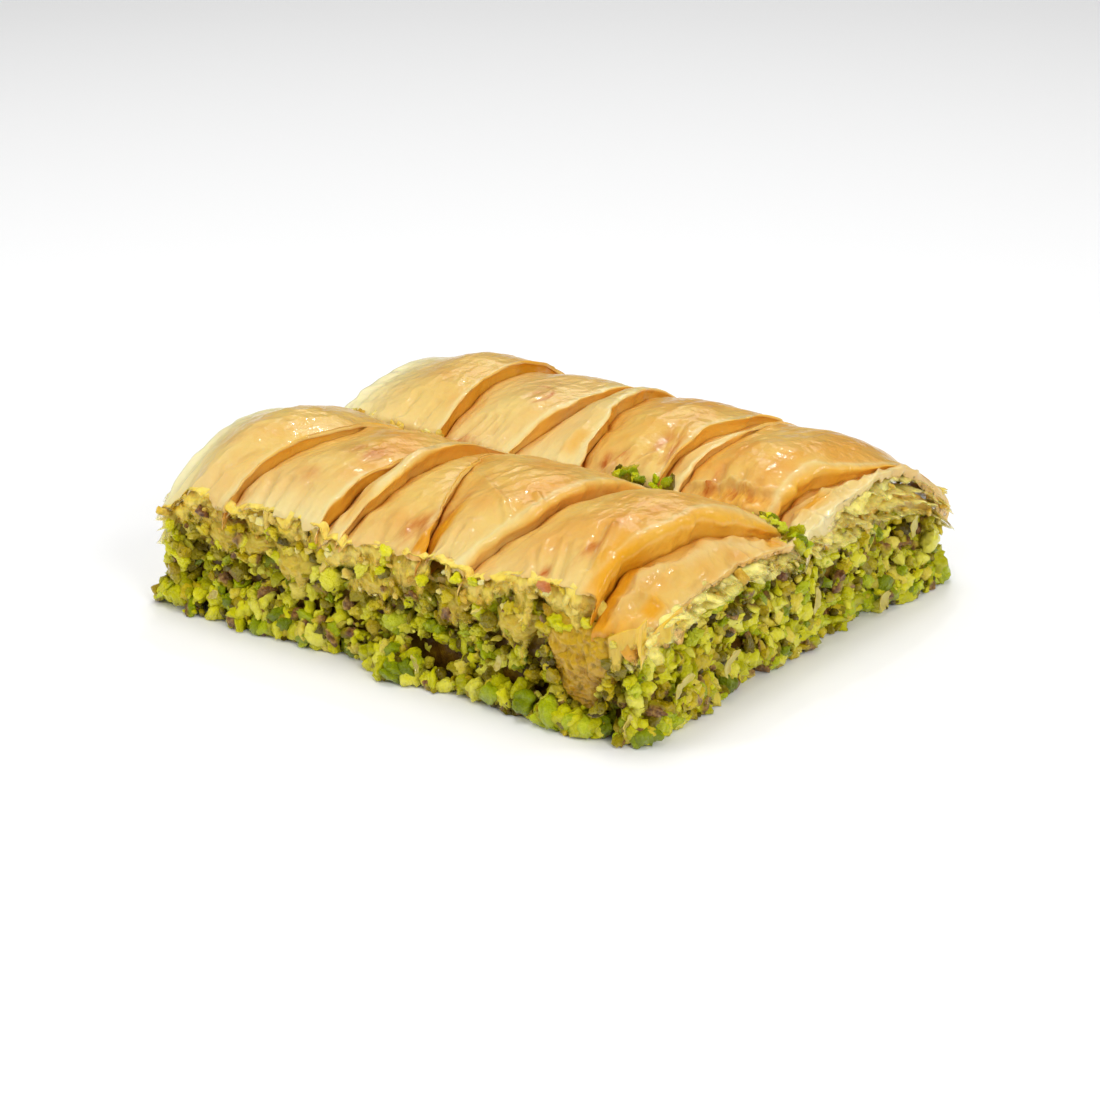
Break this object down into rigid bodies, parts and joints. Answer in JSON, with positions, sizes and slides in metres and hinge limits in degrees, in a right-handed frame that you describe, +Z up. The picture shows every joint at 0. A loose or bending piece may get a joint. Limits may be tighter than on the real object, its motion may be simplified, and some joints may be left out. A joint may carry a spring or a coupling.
{
  "type": "baklava piece",
  "caption": "Oblong block of pistachio baklava: rows of pleated glazed phyllo pastry on a thick bed of chopped pistachios.",
  "frame": {"origin": "middle of the block's underside, on the surface that it rests on", "axes": "+X along the two rows of pastry, +Y across them from the front row to the back row, +Z up"},
  "size_m": [0.134, 0.1206, 0.0405],
  "materials": {
    "chopped_pistachio": "moist chopped nuts, satin with small glints",
    "glazed_phyllo": "thin golden baked sheets under clear syrup, glossy"
  },
  "bodies": {
    "root": {"pistachio_filling": "chopped_pistachio", "pastry_front_row": "glazed_phyllo", "pastry_back_row": "glazed_phyllo"}
  },
  "joints": []
}
